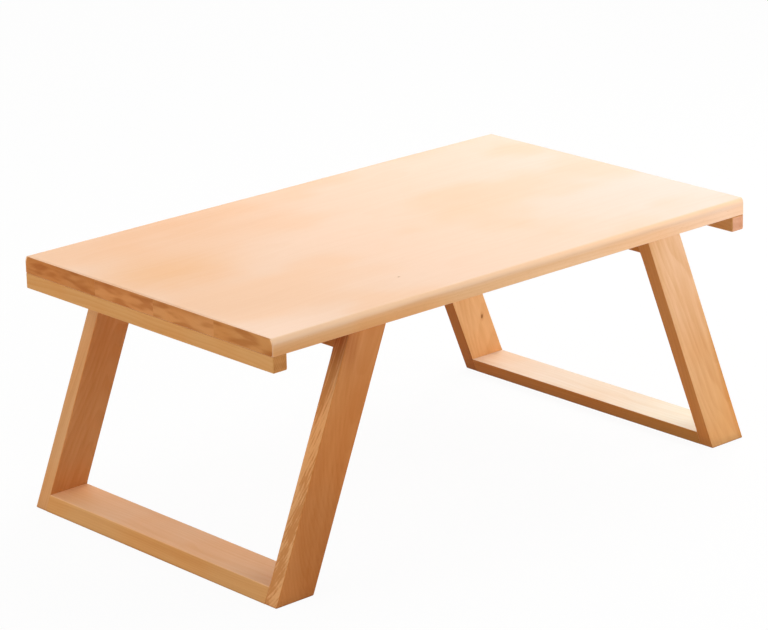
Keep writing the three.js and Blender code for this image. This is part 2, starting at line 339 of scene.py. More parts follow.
def outward(points, faces):
    """The same faces, turned round if they enclose less than nothing: each face counts as a
    fan from its first corner, and the sum of the fans' signed volumes is the solid's."""
    corners = [(face[0], a, b) for face in faces for a, b in zip(face[1:], face[2:])]
    a, b, c = points[np.array(corners)].transpose(1, 0, 2)
    volume = np.einsum("ij,ij->", a, np.cross(b, c))
    return faces if volume > 0 else [face[::-1] for face in faces]


# Pieces


def shape(name, points, faces, easing=None):
    """A mesh object at the origin, shaded smooth, with its arrises marked in an attribute."""
    mesh = bpy.data.meshes.new(name)
    mesh.from_pydata(points.tolist(), [], outward(points, faces))
    if easing is not None:
        # How far each point belongs to an arris, which the wood's painted highlight reads
        arris_share = mesh.attributes.new("arris", "FLOAT", "POINT")
        arris_share.data.foreach_set("value", easing.astype(np.float32))
    mesh.shade_smooth()
    piece = bpy.data.objects.new(name, mesh)
    bpy.context.scene.collection.objects.link(piece)
    return piece


def joined(shapes):
    """Several (points, faces) as one, for a cutter of many bores."""
    starts = np.cumsum([0] + [len(points) for points, _ in shapes])
    points = np.concatenate([points for points, _ in shapes])
    faces = []
    for start, (own, own_faces) in zip(starts, shapes):
        faces += [[start + i for i in face] for face in outward(own, own_faces)]
    return points, faces


def cut_away(piece, shapes):
    """Cuts shapes out of a piece for good."""
    cutter = shape(piece.name + "_cutter", *joined(shapes))
    cut = piece.modifiers.new("cut", "BOOLEAN")
    cut.operation = "DIFFERENCE"
    cut.solver = "EXACT"
    cut.object = cutter
    view = bpy.context.evaluated_depsgraph_get()
    made = bpy.data.meshes.new_from_object(piece.evaluated_get(view))
    piece.modifiers.clear()
    blank = piece.data
    piece.data = made
    bpy.data.meshes.remove(blank)
    bpy.data.objects.remove(cutter)
    if not made.polygons:
        raise RuntimeError(f"nothing is left of {piece.name} after its cut")


def dressed(node, finish, surface, cuts=()):
    """Draws a surface in the place of a CAD node, with each set of shapes cut out of it."""
    piece = shape(node + "_finished", *surface)
    for shapes in cuts:
        cut_away(piece, shapes)
    piece.data.set_sharp_from_angle(angle=SHARP)
    piece.data.materials.clear()
    piece.data.materials.append(finish)
    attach(piece, BODY)
    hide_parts(node)


def middle(node):
    """The middle of a CAD node's box."""
    low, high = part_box(node)
    return np.array((low + high) / 2)


def foot(node):
    """The point of the floor under the middle of a CAD node's box."""
    return middle(node) * (1, 1, 0)


def spread(node):
    """The sizes of a CAD node's box."""
    low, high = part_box(node)
    return np.array(high - low)


def numbered(kind, count, sides=SIDES):
    """The CAD nodes of one kind of fastener, numbered from 1 on each side."""
    return [f"{side}_{kind}_{number + 1}" for side in sides for number in range(count)]


# Finishes


class Wire:
    """What one socket carries. Arithmetic on it adds Math nodes."""

    def __init__(self, graph, socket):
        self.graph = graph
        self.socket = socket

    def __add__(self, other):
        return self.graph.maths("ADD", self, other)

    def __sub__(self, other):
        return self.graph.maths("SUBTRACT", self, other)

    def __rsub__(self, other):
        return self.graph.maths("SUBTRACT", other, self)

    def __mul__(self, other):
        return self.graph.maths("MULTIPLY", self, other)

    def __truediv__(self, other):
        return self.graph.maths("DIVIDE", self, other)

    __radd__ = __add__


class Graph:
    """The nodes of a material or of the world while they are put together."""

    def __init__(self, owner):
        owner.use_nodes = True
        self.nodes = owner.node_tree.nodes
        self.links = owner.node_tree.links

    def put(self, socket, value):
        """Links a wire to a socket, or writes a plain value or colour in it."""
        if isinstance(value, Wire):
            self.links.new(value.socket, socket)
        elif socket.type == "RGBA":
            socket.default_value = (*value, 1)
        else:
            socket.default_value = value

    def node(self, kind, settings=None, values=None, output=0):
        """Adds a node of a type, with its settings and the values or links of its sockets."""
        made = self.nodes.new(kind)
        for key, value in (settings or {}).items():
            setattr(made, key, value)
        sockets = {socket.identifier: socket for socket in made.inputs}
        for key, value in (values or {}).items():
            self.put(sockets[key], value)
        return Wire(self, made.outputs[output])

    def parts(self, vector):
        """The three parts of a vector."""
        first = self.node("ShaderNodeSeparateXYZ", None, {"Vector": vector})
        return [Wire(self, socket) for socket in first.socket.node.outputs]

    def maths(self, operation, *terms):
        """A Math node on up to three numbers."""
        keys = ("Value", "Value_001", "Value_002")
        return self.node("ShaderNodeMath", {"operation": operation}, dict(zip(keys, terms)))

    def vectors(self, operation, *terms, output="Vector"):
        """A Vector Math node on up to three vectors."""
        keys = ("Vector", "Vector_001", "Vector_002")
        values = dict(zip(keys, terms))
        return self.node("ShaderNodeVectorMath", {"operation": operation}, values, output)

    def fade(self, value, low, high):
        """0 below low, 1 above high, and an S curve between them. low may be the larger."""
        return self.node(
            "ShaderNodeMapRange",
            {"interpolation_type": "SMOOTHSTEP"},
            {"Value": value, "From Min": low, "From Max": high},
        )

    def noise(self, vector, sizes, detail=2.0, roughness=0.5, output="Fac"):
        """Noise about 0.5 whose patches have these sizes along the vector's three parts."""
        scaled = self.vectors("DIVIDE", vector, sizes)
        values = {"Vector": scaled, "Scale": 1.0, "Detail": detail, "Roughness": roughness}
        return self.node("ShaderNodeTexNoise", None, values, output)

    def mixed(self, factor, one, other, blend="MIX"):
        """Two colours mixed, or the first multiplied by the second."""
        settings = {"data_type": "RGBA", "blend_type": blend}
        values = {"Factor_Float": factor, "A_Color": one, "B_Color": other}
        return self.node("ShaderNodeMix", settings, values, 2)

    def blended(self, factor, one, other):
        """Two shaders mixed."""
        values = {"Fac": factor, "Shader": one, "Shader_001": other}
        return self.node("ShaderNodeMixShader", None, values)

    def ray(self, output):
        """What Light Path says of the ray that meets this surface."""
        return self.node("ShaderNodeLightPath", output=output)

    def white_rays(self):
        """1 for a ray that shows the background itself, straight or through a gloss."""
        straight, glossy, clear = (
            self.ray(f"Is {kind} Ray") for kind in ("Camera", "Glossy", "Transmission")
        )
        return self.maths("MAXIMUM", self.maths("MAXIMUM", straight, glossy), clear)


class Finish(Graph):
    """A material made of one surface shader."""

    def __init__(self, name, base, **constants):
        self.material = bpy.data.materials.new(name)
        super().__init__(self.material)
        self.material.diffuse_color = (*base, 1)
        self.surface = self.nodes["Principled BSDF"]
        for key, value in constants.items():
            self.wear(key.replace("_", " "), value)

    def wear(self, socket, value):
        """Puts a wire or a value in one of the surface's sockets."""
        self.put(self.surface.inputs[socket], value)

    def bump(self, height, distance):
        """Raises the surface by a height, in metres times its own value."""
        values = {"Height": height, "Distance": distance}
        self.wear("Normal", self.node("ShaderNodeBump", None, values))


def toned(base, *factors):
    """A colour with each part multiplied by its own factor, or all by one."""
    return tuple(min(1.0, part * by) for part, by in zip(base, factors * (3 // len(factors))))


# What multiplies the colour of a wide and of a narrow face in its light and in its dark grain
WIDE_GRAIN = (1.08, 1.16, 1.27), (0.92, 0.84, 0.73)
NARROW_GRAIN = (1.08, 1.14, 1.22), (0.92, 0.86, 0.78)

# What multiplies it where it drifts, at a blotch on end grain, as a painted highlight on an
# arris, and in the ring and the heart of a knot
DRIFTED = (1.0, 0.93, 0.84)
BLOTCHED = (0.78, 0.66, 0.56)
ARRIS_HIGHLIGHT = (1.19, 1.12, 0.96)
KNOT_RING = (0.8, 0.62, 0.45)
KNOT_HEART = (0.34, 0.22, 0.15)


@dataclass
class Cut:
    """How a board was cut from its tree, and the marks on it.

    pith is a point on the axis of the tree, and turn lays the first axis of the board's own
    space along the grain, which bends away from it by bow, in millimetres, times the square of
    the decimetres along it. rings is the spacing of the growth rings in millimetres, and figure
    is how strongly they show. All tones count edge_figure times on the narrow faces, which look
    along edge_axis of the board's space, between a light and a dark tone that are edge_depth
    times as far apart. The colour of these faces sets in between the two heights of edge_span,
    if it has them. arris_highlight is how strongly an arris is painted lighter as a highlight.
    ends and under are what end grain and faces that look down multiply the colour by, and stain
    is how strongly end grain is blotched. A stripe runs along the grain at a distance across it,
    with a half width, both in millimetres, and a factor, and sets in between two distances along
    the grain. A shade is a soft patch with a centre, three radii and a factor. A knot has a
    centre and three radii.
    """

    pith: tuple = (0, 0, 0)
    turn: tuple = (0, 0, 0)
    bow: tuple = (0, 0)
    edge_axis: int = 1
    edge_span: tuple = ()
    rings: float = 3.0
    figure: float = 1.0
    edge_figure: float = 1.0
    edge_depth: float = 1.0
    streaks: float = 1.0
    flecks: float = 1.0
    # How strongly an arris gets a painted highlight
    arris_highlight: float = 0.4
    ends: tuple = (0.85, 0.68, 0.52)
    under: tuple = (1, 1, 1)
    stain: float = 1.0
    stripes: tuple = ()
    shades: tuple = ()
    knots: tuple = ()


def grain_space(finish, place, cut):
    """A board's own space, in millimetres from the pith, with its grain laid straight."""
    board = finish.node(
        "ShaderNodeMapping",
        {"vector_type": "TEXTURE"},
        {"Vector": place, "Location": cut.pith, "Rotation": cut.turn, "Scale": (MM, MM, MM)},
    )
    if not any(cut.bow):
        return board
    along = finish.parts(board)[0] * 0.01
    return finish.vectors("MULTIPLY_ADD", along * along, (0, *cut.bow), board)


def facings(finish, cut):
    """How far the surface is end grain, how far it is a narrow face, how far it doesn't lean
    down, and how far it looks straight down."""
    normal = finish.node("ShaderNodeNewGeometry", output="Normal")
    height = finish.parts(normal)[2]
    open_side, under = finish.fade(height, -0.4, 0.1), finish.fade(height, -0.6, -0.9)
    normal = finish.node(
        "ShaderNodeVectorRotate",
        {"rotation_type": "EULER_XYZ", "invert": True},
        {"Vector": normal, "Rotation": cut.turn},
    )
    looks = finish.parts(finish.vectors("ABSOLUTE", normal))
    sawn = finish.fade(looks[0], 0.72, 0.97)
    return sawn, finish.fade(looks[cut.edge_axis], 0.58, 0.92), open_side, under


def growth_rings(finish, board, spacing):
    """Shells round the pith: how far into its late wood a point lies, and its year's own tone.

    A year is the whole part of the distance to the pith, bent by noise, over a spacing that
    wanders. Late wood deepens through the rest of it and ends at once."""
    bend = finish.noise(board, (220, 60, 60), output="Color")
    bend = finish.vectors("MULTIPLY_ADD", bend, (0, 16, 16), board)
    reach = finish.vectors("LENGTH", finish.vectors("MULTIPLY", bend, (0.01, 1, 1)), output="Value")
    count = reach / spacing + finish.noise(board, (500, 26, 26), 1) * 2.4
    part = finish.maths("FRACT", count)
    late = finish.fade(part, 0.15, 0.88) * finish.fade(part, 1.0, 0.90)
    year = finish.maths("FLOOR", count)
    own = finish.node("ShaderNodeTexWhiteNoise", {"noise_dimensions": "1D"}, {"W": year})
    return late, own


def marked(finish, skin, place, board, base, cut):
    """A colour with the board's drift of tone, stripes, shades and knots on it."""
    drift = finish.fade(finish.noise(place, (0.15, 0.11, 0.11), 2, 0.45), 0.42, 0.66)
    skin = finish.mixed(drift, skin, DRIFTED, "MULTIPLY")
    for centre, half, factor, stretch in cut.stripes:
        across = finish.parts(board)[2] + (finish.noise(board, (160, 30, 30)) - 0.5) * 12
        near = finish.fade(finish.maths("ABSOLUTE", across - centre), half, 0.2 * half)
        near = near * finish.fade(finish.parts(board)[0], *stretch)
        skin = finish.mixed(near, skin, factor, "MULTIPLY")

    def away(centre, radii):
        offset = finish.vectors("DIVIDE", finish.vectors("SUBTRACT", place, centre), radii)
        return finish.vectors("LENGTH", offset, output="Value")

    for centre, radii, factor in cut.shades:
        near = finish.fade(away(centre, radii), 1, 0)
        skin = finish.mixed(near, skin, factor, "MULTIPLY")
    for centre, radii in cut.knots:
        reach = away(centre, radii)
        skin = finish.mixed(finish.fade(reach, 2.4, 0.9) * 0.45, skin, toned(base, *KNOT_RING))
        skin = finish.mixed(finish.fade(reach, 1, 0.5) * 0.9, skin, toned(base, *KNOT_HEART))
    return skin


def wood(name, base, edge, cut):
    """Solid wood, worked out in all three dimensions, so each face shows its own cut of it.

    Streaks and fibres are noise drawn out along the grain, flecks are the darkest of shorter
    noise, broad noise makes the tone drift, and end grain is blotched. Narrow faces have the
    edge colour. The arrises that don't look down get a painted highlight.
    """
    finish = Finish(name, base, IOR=1.5, Specular_IOR_Level=WOOD_GLOSS)
    place = finish.node("ShaderNodeTexCoord", output="Object")
    board = grain_space(finish, place, cut)
    sawn, narrow, open_side, under = facings(finish, cut)
    if cut.edge_span:
        narrow = narrow * finish.fade(finish.parts(place)[2], *cut.edge_span)
    late, own = growth_rings(finish, board, cut.rings)
    broad = finish.noise(board, (330, 13, 13), 1)
    streak = finish.noise(board, (150, 3.4, 3.4), 3, 0.55)
    fine = finish.noise(board, (34, 0.55, 0.55), 3, 0.6)
    fleck = finish.fade(finish.noise(board, (5, 0.6, 0.6), 1), 0.66, 0.78)
    blotch = finish.noise(board, (90, 34, 7), 1)

    tone = (
        ((late - 0.35) * 0.20 + (own - 0.5) * 0.10) * cut.figure * (1 + sawn * 1.5)
        + (broad - 0.5) * (0.9 * cut.streaks) * (1 + sawn)
        + (streak - 0.5) * (0.75 * cut.streaks)
        + (fine - 0.5) * (0.30 * cut.streaks)
        + fleck * (0.14 * cut.flecks)
    )
    tone = tone * (1 + narrow * (cut.edge_figure - 1))
    span = finish.fade(tone, -0.6, 0.6)
    skin = finish.mixed(span, *(toned(base, *grain) for grain in WIDE_GRAIN))
    if edge is not None:
        tones = [[part ** cut.edge_depth for part in grain] for grain in NARROW_GRAIN]
        side = finish.mixed(span, *(toned(edge, *factors) for factors in tones))
        skin = finish.mixed(narrow, skin, side)
    skin = marked(finish, skin, place, board, base, cut)
    skin = finish.mixed(under, skin, cut.under, "MULTIPLY")
    skin = finish.mixed(sawn, skin, cut.ends, "MULTIPLY")
    stained = sawn * finish.fade(blotch, 0.40, 0.68) * cut.stain
    skin = finish.mixed(stained, skin, BLOTCHED, "MULTIPLY")
    # A painted highlight on the arrises that don't look down
    arris = finish.node("ShaderNodeAttribute", {"attribute_name": "arris"}, output="Fac")
    highlight = arris * open_side * (1 - narrow * 0.4) * cut.arris_highlight
    skin = finish.mixed(highlight, skin, toned(base, *ARRIS_HIGHLIGHT))
    finish.wear("Base Color", skin)

    finish.wear("Roughness", 0.42 + sawn * 0.16 + (fine - 0.5) * 0.14 + late * 0.04)
    height = (fine - 0.5) * 0.6 - late * 0.3 - fleck * 0.4 + (streak - 0.5) * 0.5
    finish.bump(height, 0.04 * MM)
    return finish.material


def metal(name, base, roughness=0.3):
    """Plated or plain metal: its shine drifts, and fine noise dulls and dents it."""
    finish = Finish(name, base, Metallic=1.0)
    place = finish.node("ShaderNodeTexCoord", output="Object")
    cloud = finish.noise(place, (4 * MM, 4 * MM, 4 * MM), 3)
    grit = finish.noise(place, (0.4 * MM, 0.4 * MM, 0.4 * MM))
    finish.wear("Base Color", finish.mixed(cloud, toned(base, 1.06), toned(base, 0.84)))
    finish.wear("Roughness", roughness + (cloud - 0.5) * 0.25 + (grit - 0.5) * 0.12)
    finish.bump(grit, 0.01 * MM)
    return finish.material


# Tabletop

# Patches of the tabletop: the warmer left half and left end of its back; its front edge, with
# painted shade along its foot on the left and painted light on its right; the darker upper
# part of its left end; the paler right end, which is painted sheen; and the paler left front
# corner
TOP_SHADES = (
    ((-0.45, 0.20, 0.29), (0.75, 0.9, 1), (1.0, 0.94, 0.87)),
    ((-0.17, 0.15, 0.29), (0.18, 0.13, 1), (0.99, 0.88, 0.76)),
    ((-0.28, 0.05, 0.29), (0.14, 0.09, 1), (0.98, 0.83, 0.62)),
    # Painted shade at the foot of the front edge on the left, and painted light along it on the
    # right
    ((-0.42, -0.206, 0.270), (0.50, 0.014, 0.018), (0.88, 0.73, 0.55)),
    ((0.46, -0.206, 0.275), (0.62, 0.014, 0.015), (1.14, 1.24, 1.50)),
    ((-0.350, 0.02, 0.289), (0.006, 0.30, 0.009), (0.86, 0.78, 0.70)),
    # Painted sheen over the right end
    ((0.42, -0.12, 0.29), (0.42, 0.50, 1), (1.0, 1.05, 1.20)),
    ((-0.36, -0.21, 0.294), (0.16, 0.14, 0.015), (1.10, 1.16, 1.24)),
)

# A pin knot in the front stave
PIN_KNOT = (((-0.122, -0.144, 0.290), (0.0014, 0.0010, 0.002)),)

# Heights between which the colour of a long edge sets in
EDGE_SPAN = (0.2905, 0.2785)

# Pith and end grain of the four staves, front to back, and end grain of the two battens, where the
# right one's is paler as painted light
STAVE_PITHS = (0, -0.15, 0.215), (0, -0.09, 0.33), (0, 0.05, 0.20), (0, 0.16, 0.235)
STAVE_ENDS = (0.69, 0.44, 0.19), (0.74, 0.49, 0.24), (0.74, 0.48, 0.24), (0.65, 0.38, 0.16)
# The right batten's paler end grain is painted light
BATTEN_ENDS = {"left": (0.93, 0.82, 0.73), "right": (1.15, 1.19, 2.15)}

# The turn that lays the grain along +Y
ALONG_Y = (0, 0, pi / 2)


def within(bores, axis, low, high):
    """The bores whose middle lies between two places on an axis."""
    return [bore for bore in bores if low < bore[0][:, axis].mean() < high]


class TEATABLE_OT_tabletop(bpy.types.Operator):
    """Draw the four glued staves of the tabletop"""

    bl_idname = "teatable.tabletop"
    bl_label = "Tabletop"

    def execute(self, context):
        sizes = context.scene.tea_table_top
        woods = context.scene.tea_table_wood
        boxes = [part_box(node) for node in STAVES]
        low, high = boxes[0][0], boxes[-1][1]
        joints = [(one[1].y + other[0].y) / 2 for one, other in zip(boxes, boxes[1:])]
        gap = sizes.glue_line / 2
        fronts = [low.y] + [joint + gap for joint in joints]
        backs = [joint - gap for joint in joints] + [high.y]
        reach = sizes.end_arris
        along = stations(low.x, high.x, reach, reach, steps=5, spacing=25 * MM)
        long_face = sizes.corner_arris / reach
        bores = insert_bores(context) + screw_bores(context)
        for index, (node, front, back) in enumerate(zip(STAVES, fronts, backs)):
            corners = [(front, low.z), (back, low.z), (back, high.z), (front, high.z)]
            reaches = np.zeros((4, 2))
            shares = [1, 0, 1, 0]
            # Each stave's arrises get the full painted highlight, and its ends most of it
            cut = Cut(
                pith=STAVE_PITHS[index], edge_span=EDGE_SPAN, rings=3.4, figure=0.12,
                edge_figure=5.0, streaks=0.10, arris_highlight=1.0, ends=STAVE_ENDS[index],
                shades=TOP_SHADES,
            )
            if node == STAVES[0]:
                reaches[0] = sizes.under_arris
                reaches[3] = sizes.round_reach, sizes.round_drop
                shares[3] = long_face
                cut.knots = PIN_KNOT
            if node == STAVES[-1]:
                reaches[1] = sizes.under_arris
                reaches[2] = sizes.round_drop, sizes.round_reach
                shares[1] = long_face
            eased = reaches * sanded(along[0], index)[:, None, None]
            surface = carried(
                corners, eased, along, lambda y, z, x: (x, y, z), shares, steps=10, end_highlight=0.6
            )
            finish = wood(node, woods.top, woods.top_edge, cut)
            dressed(node, finish, surface, [within(bores, 1, front, back)])
        return {"FINISHED"}


class TEATABLE_OT_battens(bpy.types.Operator):
    """Draw the batten under each end of the tabletop"""

    bl_idname = "teatable.battens"
    bl_label = "Battens"

    def execute(self, context):
        sizes = context.scene.tea_table_top
        base = context.scene.tea_table_wood.batten
        for side in SIDES:
            node = side + "_batten"
            low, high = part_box(node)
            corners = [(low.z, low.x), (high.z, low.x), (high.z, high.x), (low.z, high.x)]
            reach = sizes.batten_end_arris
            along = stations(low.y, high.y, reach, reach, steps=4, spacing=25 * MM)
            reaches = np.full((4, 2), sizes.batten_arris)
            reaches[[1, 2]] = sizes.batten_seat
            eased = reaches * sanded(along[0], 3 + low.x)[:, None, None]
            surface = carried(corners, eased, along, lambda z, x, y: (x, y, z))
            cut = Cut(
                pith=(low.x - 0.06, 0, low.z + 0.05), turn=ALONG_Y, rings=2.6, streaks=0.6,
                ends=BATTEN_ENDS[side], stain=0.3,
            )
            bores = within(screw_bores(context), 0, low.x, high.x)
            dressed(node, wood(node, base, None, cut), surface, [bores])
        return {"FINISHED"}


# Leg frames

# How each leg was cut, with its pith against its middle, and its patches of other tones and of
# painted shade
LEG_CUTS = {
    "left_front_leg": Cut(
        pith=(0.060, 0.052, 0.135), bow=(-3.2, 5.5), rings=2.6, figure=0.7, edge_figure=4.6,
        edge_depth=1.7, flecks=2.0,
        shades=(
            ((-0.285, -0.2, -0.03), (0.075, 1, 0.24), (0.78, 0.66, 0.52)),
            # Painted shade where the leg's top meets the underside of the tabletop
            ((-0.247, -0.19, 0.268), (0.022, 0.03, 0.060), (0.66, 0.42, 0.30)),
            ((-0.225, -0.206, 0.275), (0.055, 0.012, 0.10), (1.05, 1.14, 1.36)),
        ),
    ),
    "left_back_leg": Cut(pith=(0.012, -0.070, 0)),
    "right_front_leg": Cut(
        pith=(0.012, 0.055, 0), rings=3.2,
        stripes=((-6, 9, (0.92, 0.82, 0.60), (80, 20)),),
        shades=(
            ((0.33, -0.2, -0.03), (0.13, 1, 0.24), (0.95, 0.86, 0.66)),
            ((0.26, -0.2, 0.29), (0.090, 1, 0.19), (1.17, 1.38, 1.85)),
        ),
    ),
    "right_back_leg": Cut(
        pith=(0.012, -0.070, 0), knots=(((0.314, 0.186, 0.069), (0.002, 0.004, 0.0036)),),
    ),
}

# Slant of the grain across each leg, and the tones of its wide and of its narrow faces; the right
# back leg's darker narrow tone is painted shade
LEG_SLANTS = {
    "left_front_leg": 0.1,
    "left_back_leg": 0.2,
    "right_front_leg": 0.15,
    "right_back_leg": 0.2,
}
LEG_TONES = {
    "left_front_leg": ((0.98, 0.96, 0.94), (1.02, 0.98, 1.02)),
    "left_back_leg": ((1.02, 1.09, 1.24), (1.0, 1.03, 1.20)),
    "right_front_leg": ((1.03, 1.0, 0.97), (1.04, 1.11, 1.36)),
    # Painted shade on the right back leg's narrow faces
    "right_back_leg": ((1.09, 1.04, 0.92), (0.68, 0.535, 0.34)),
}

# The same for the rails of each frame: their large wide tones paint a sheen on the rail tops
RAIL_TONES_AND_SHEEN = {
    "left": ((1.36, 2.09, 3.90), (1.02, 1.03, 1.01)),
    "right": ((1.04, 1.51, 2.38), (0.86, 0.81, 0.70)),
}

# Patches of the rails: at the bottom the right one is creamier in front and pinker behind,
# and at the top the left one has painted shade, darker and redder, in front under the tabletop
RAIL_SHADES = {
    "right_bottom_rail": (
        ((0.33, -0.15, 0.02), (1, 0.13, 1), (1.04, 1.19, 1.28)),
        ((0.33, 0.20, 0.02), (1, 0.20, 1), (0.96, 0.90, 0.90)),
    ),
    # Painted shade under the tabletop
    "left_top_rail": (((-0.252745, -0.15, 0.27), (0.05, 0.2, 0.05), (0.70, 0.48, 0.36)),),
}

# Radii and tone of the painted contact shadow at each sole, just above the floor
SOLE_SHADOW = (1, 1, 0.0026), (0.72, 0.62, 0.54)


def lean_turn(side, splay, slant):
    """The turn that lays the first axis along a leg of this side, with a slant in its grain."""
    sign = -1 if side == "left" else 1
    return (0, -(pi / 2 + sign * splay), sign * slant)


def frame_tones(woods, side, tones):
    """The colours of the wide and of the narrow faces of a board, times its own tones."""
    bases = (woods.left, woods.left_edge) if side == "left" else (woods.right, woods.right_edge)
    return [toned(base, *tone) for base, tone in zip(bases, tones)]


def leaning_faces(context, side):
    """Where the low and the high X face of a frame lie at a height z: x = start + slope z."""
    slope = tan(context.scene.tea_table_frame.splay)
    low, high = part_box(side + "_front_leg")
    reach = (high.z - low.z) * slope
    if side == "left":
        return low.x, high.x - reach, slope
    return low.x + reach, high.x, -slope


class TEATABLE_OT_legs(bpy.types.Operator):
    """Draw the four leaning legs"""

    bl_idname = "teatable.legs"
    bl_label = "Legs"

    def execute(self, context):
        sizes = context.scene.tea_table_frame
        stretch = 1 / cos(sizes.splay)
        for side, end in product(SIDES, ENDS):
            start, stop, slope = leaning_faces(context, side)
            rail_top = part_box(side + "_bottom_rail")[1].z
            rail_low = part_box(side + "_top_rail")[0].z
            node = f"{side}_{end}_leg"
            low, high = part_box(node)
            corners = [(start, low.y), (stop, low.y), (stop, high.y), (start, high.y)]
            along = stations(
                low.z, high.z, sizes.foot_arris, sizes.joint_arris,
                steps=5, spacing=5 * MM, hold=0.3 * MM,
            )
            free = np.interp(
                along[0],
                [rail_top, rail_top + sizes.joint_run, rail_low - sizes.joint_run, rail_low],
                [sizes.joint_arris, sizes.arris, sizes.arris, sizes.joint_arris],
            )
            full = np.full_like(free, sizes.arris)
            fronts, backs = (full, free) if end == "front" else (free, full)
            by_corner = np.stack([fronts, fronts, backs, backs], axis=1)
            by_corner = by_corner * sanded(along[0], len(node) + start)[:, None]
            reaches = np.stack([by_corner, by_corner * stretch], axis=-1)
            reaches[:, [1, 3]] = reaches[:, [1, 3], ::-1]
            surface = carried(corners, reaches, along, lambda x, y, z: (x + slope * z, y, z))
            # Painted contact shadow along the foot of the leg
            sole = ((middle(node)[0], low.y, 0), *SOLE_SHADOW)
            cut = replace(
                LEG_CUTS[node],
                pith=tuple(middle(node) + np.array(LEG_CUTS[node].pith)),
                turn=lean_turn(side, sizes.splay, LEG_SLANTS[node]),
                edge_axis=2,
                shades=(*LEG_CUTS[node].shades, sole),
            )
            tones = frame_tones(context.scene.tea_table_wood, side, LEG_TONES[node])
            finish = wood(node, *tones, cut)
            dressed(node, finish, surface, [dowel_bores(context, node)])
        return {"FINISHED"}


class TEATABLE_OT_rails(bpy.types.Operator):
    """Draw the rail at the top and at the bottom of each leg frame"""

    bl_idname = "teatable.rails"
    bl_label = "Rails"

    def execute(self, context):
        sizes = context.scene.tea_table_frame
        for side, rail in product(SIDES, RAILS):
            start, stop, slope = leaning_faces(context, side)
            node = f"{side}_{rail}_rail"
            low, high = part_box(node)
            corners = [
                (z, x + slope * z)
                for z, x in ((low.z, start), (high.z, start), (high.z, stop), (low.z, stop))
            ]
            along = stations(low.y, high.y, 0, 0, steps=0, spacing=20 * MM, hold=0.3 * MM)
            eased = np.full((4, 2), sizes.arris) * sanded(along[0], 5 + high.z)[:, None, None]
            surface = carried(corners, eased, along, lambda z, x, y: (x, y, z))
            bores = dowel_bores(context, node)
            if rail == "top":
                bores += bolt_bores(context, side)
            cut = Cut(
                pith=(start - 0.02, 0, low.z - 0.045), turn=ALONG_Y, rings=2.8, figure=0.45,
                streaks=0.5, edge_figure=2.0, shades=RAIL_SHADES.get(node, ()),
                # Takes the painted sheen of the wide tones off again where a face looks down
                under=tuple(1 / tone for tone in RAIL_TONES_AND_SHEEN[side][0]),
            )
            # A bottom rail gets the painted contact shadow at its sole
            if rail == "bottom":
                cut.shades = ((start, 0, 0), *SOLE_SHADOW), *cut.shades
            tones = frame_tones(context.scene.tea_table_wood, side, RAIL_TONES_AND_SHEEN[side])
            dressed(node, wood(node, *tones, cut), surface, [bores])
        return {"FINISHED"}


# Bores, each a turned shape a little larger than what goes in it

# Radius of a screw's point
SCREW_POINT = 0.3 * MM


def pin(radius, low, high, centre, axis="Z", around=32):
    """A plain cylinder from low to high on its axis."""
    return turned([radius, radius], [low, high], around, centre, axis)


def dowels():
    """The CAD node of every dowel, with those of the leg and the rail that it joins."""
    return [
        (f"{side}_{end}_{rail}_dowel_{number}", f"{side}_{end}_leg", f"{side}_{rail}_rail")
        for side, end, rail, number in product(SIDES, ENDS, RAILS, (1, 2))
    ]


def dowel_bores(context, board):
    """The holes of the dowels in one leg or rail."""
    sizes = context.scene.tea_table_fastener
    bores = []
    for node, *boards in dowels():
        if board in boards:
            width, reach, _ = spread(node)
            half = reach / 2 + sizes.spare
            bores.append(pin(width / 2 + sizes.clearance, -half, half, middle(node), "Y"))
    return bores


def bolt_bores(context, side):
    """The holes through one top rail."""
    sizes = context.scene.tea_table_fastener
    low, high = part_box(side + "_top_rail")
    radius = sizes.bolt_diameter / 2 + sizes.bolt_clearance
    ends = low.z - sizes.spare, high.z + sizes.spare
    return [pin(radius, *ends, foot(node)) for node in numbered("bolt", 3, (side,))]


def insert_bores(context):
    """The hole of every insert and of the bolt's end past it, up into the top."""
    sizes = context.scene.tea_table_fastener
    bores = []
    for insert, bolt in zip(numbered("insert", 3), numbered("bolt", 3)):
        low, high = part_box(insert)
        top = max(high.z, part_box(bolt)[1].z) + sizes.spare
        radius = spread(insert)[0] / 2 + sizes.clearance
        bores.append(pin(radius, low.z - 4 * sizes.spare, top, foot(insert)))
    return bores


def screw_profile(sizes, node, grow, spare):
    """Radius and height of a countersunk screw, point up, grown for its hole."""
    low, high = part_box(node)
    head = spread(node)[0] / 2 + grow
    shank = sizes.screw_diameter / 2 + grow
    radii = [head, shank, shank, SCREW_POINT + grow]
    heights = [low.z, low.z + sizes.screw_head, high.z - sizes.screw_tip + spare, high.z + spare]
    return radii, heights


def screw_bores(context):
    """The hole and the countersink of every batten screw."""
    sizes = context.scene.tea_table_fastener
    bores = []
    for node in numbered("batten_screw", 4):
        radii, heights = screw_profile(sizes, node, sizes.clearance, sizes.spare)
        below = heights[0] - 2 * sizes.spare
        bores.append(turned([radii[0], *radii], [below, *heights], 40, foot(node)))
    return bores


# Fasteners

# Depth of the threads
BOLT_THREAD = 0.55 * MM
INSERT_THREAD = 0.9 * MM
SCREW_THREAD = 0.6 * MM

# Broken edge of a washer and of a screw's head, and the angle at which a bolt's dome begins
WASHER_EDGE = 0.25 * MM
SCREW_EDGE = 0.15 * MM
DOME_START = 0.12


def threaded(reach, pitch, crest, root, around=28, per_turn=7, run=1.5):
    """Radius and height of a thread: the radius rises from root to crest once in each pitch,
    at a height that climbs by one pitch in each turn, and runs out over the ends."""
    rows = max(2, int(round(reach / pitch * per_turn)))
    height = np.linspace(0, reach, rows + 1)
    turn = np.arange(around) / around
    phase = (height[:, None] / pitch - turn[None, :]) % 1
    ridge = 1 - np.abs(2 * phase - 1)
    ends = np.clip(np.minimum(height, reach - height) / (run * pitch), 0, 1)
    return root + (crest - root) * ridge * ends[:, None], height


